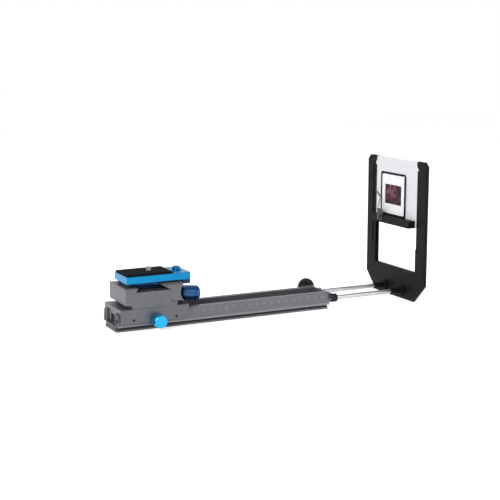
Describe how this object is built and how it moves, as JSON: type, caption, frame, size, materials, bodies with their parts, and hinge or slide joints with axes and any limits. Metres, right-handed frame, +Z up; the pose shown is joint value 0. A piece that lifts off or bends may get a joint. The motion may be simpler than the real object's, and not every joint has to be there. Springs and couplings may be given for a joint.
{
  "type": "slide duplicator",
  "caption": "Slide duplicator: focusing rail with a quick-release plate clamp, and on telescoping rods an upright frame that holds a mounted slide in front of an opal diffuser.",
  "frame": {"origin": "centre of the small tripod thread at the underside of the rail", "axes": "+X along the rail towards the slide, +Y to the far side with the focusing rack, +Z up"},
  "size_m": [0.3935, 0.1324, 0.1801],
  "materials": {
    "anodised_grey": "fine bead-blasted grey anodising",
    "blue_bright": "satin bright blue anodising",
    "blue_dark": "satin dark blue anodising",
    "black_anodised": "matt black anodising",
    "rod_chrome": "ground and hard-chromed",
    "steel": "turned, bare",
    "dark_steel": "blackened",
    "bronze": "machined bearing bronze",
    "rubber_black": "ribbed matt rubber",
    "opal": "opal sheet, matt",
    "mount_white": "moulded white, matt",
    "film": "processed film, glossy"
  },
  "bodies": {
    "root": {"rail": "anodised_grey", "gear_rack": "steel", "rack_screws": "dark_steel", "tripod_bushes": "steel", "stop_pins": "steel", "rod_bracket": "anodised_grey"},
    "bracket_screw": {"bracket_stud": "steel", "bracket_thumbscrew": "black_anodised"},
    "near_collet": {"collet_nut_near": "black_anodised"},
    "far_collet": {"collet_nut_far": "black_anodised"},
    "carriage": {"saddle": "anodised_grey", "gib_strip": "bronze", "gib_screws": "dark_steel", "drive_bush": "bronze", "clamp_block": "anodised_grey", "block_screws": "dark_steel", "jaw_guide_pins": "steel", "jaw_springs": "steel"},
    "focusing_drive": {"drive_pinion": "steel", "drive_knob": "blue_bright", "drive_knob_screw": "dark_steel"},
    "carriage_lock": {"lock_screw": "steel", "lock_knob": "blue_bright"},
    "jaw": {"moving_jaw": "anodised_grey"},
    "jaw_knob": {"clamp_screw": "steel", "clamp_knob": "blue_dark"},
    "plate": {"qr_plate": "blue_bright", "plate_pad": "rubber_black", "plate_stop": "blue_bright", "stop_screw": "dark_steel"},
    "plate_screw": {"camera_screw": "steel"},
    "slide_carrier": {"rod_near": "rod_chrome", "rod_far": "rod_chrome", "rod_sleeves": "black_anodised", "slide_frame": "black_anodised", "rod_end_screws": "dark_steel"},
    "holder": {"diffuser": "opal", "slide_ledge": "black_anodised", "mask_plate": "black_anodised", "holder_screws": "dark_steel", "clip_plate": "steel", "clip_screw": "steel"},
    "spring": {"slide_spring": "steel"},
    "slide": {"mount_front": "mount_white", "mount_back": "mount_white", "film_chip": "film"}
  },
  "joints": [
    {"name": "carriage_slide", "type": "slide", "parent": "root", "child": "carriage", "axis": [1, 0, 0], "range_m": [0, 0.17]},
    {"name": "focus_turn", "type": "hinge", "parent": "carriage", "child": "focusing_drive", "pos_m": [-0.0938, 0.033, 0.01355], "axis": [0, 1, 0], "range_deg": [0, 2436]},
    {"name": "lock_turn", "type": "hinge", "parent": "carriage", "child": "carriage_lock", "pos_m": [-0.0918, -0.033, 0.0126], "axis": [0, 1, 0], "range_deg": [0, 360]},
    {"name": "jaw_slide", "type": "slide", "parent": "carriage", "child": "jaw", "axis": [0.9951, 0, -0.0993], "range_m": [0, 0.0031]},
    {"name": "jaw_knob_turn", "type": "hinge", "parent": "jaw", "child": "jaw_knob", "pos_m": [-0.0585, 0, 0.0355], "axis": [0.9951, 0, -0.0993], "range_deg": [0, 1350]},
    {"name": "plate_slide", "type": "slide", "parent": "carriage", "child": "plate", "axis": [0, 1, 0], "range_m": [-0.02, 0.02]},
    {"name": "plate_screw_turn", "type": "hinge", "parent": "plate", "child": "plate_screw", "pos_m": [-0.091, 0, 0.06], "axis": [0, 0, 1], "range_deg": [0, 720]},
    {"name": "rod_slide", "type": "slide", "parent": "root", "child": "slide_carrier", "axis": [1, 0, 0], "range_m": [-0.075, 0.094]},
    {"name": "holder_height", "type": "slide", "parent": "slide_carrier", "child": "holder", "axis": [0, 0, 1], "range_m": [-0.029, 0.04]},
    {"name": "slide_lift", "type": "slide", "parent": "holder", "child": "slide", "axis": [0, 0, 1], "range_m": [0, 0.055]},
    {"name": "spring_flex", "type": "hinge", "parent": "holder", "child": "spring", "pos_m": [0.2385, 0.0278, 0.1141], "axis": [-1, 0, 0], "range_deg": [0, 14], "stiffness_Nm_per_rad": 0.02},
    {"name": "bracket_screw_turn", "type": "hinge", "parent": "root", "child": "bracket_screw", "pos_m": [0.135, 0.03, 0.0186], "axis": [0, 1, 0], "range_deg": [0, 720]},
    {"name": "near_collet_turn", "type": "hinge", "parent": "root", "child": "near_collet", "pos_m": [0.147, -0.0194, 0.0133], "axis": [1, 0, 0], "range_deg": [0, 180]},
    {"name": "far_collet_turn", "type": "hinge", "parent": "root", "child": "far_collet", "pos_m": [0.147, 0.0194, 0.0133], "axis": [1, 0, 0], "range_deg": [0, 180]}
  ],
  "couplings": [
    {"joint": "focus_turn", "follows": "carriage_slide", "rad_per_m": 250},
    {"joint": "jaw_slide", "follows": "jaw_knob_turn", "m_per_rad": 0.00012732}
  ]
}
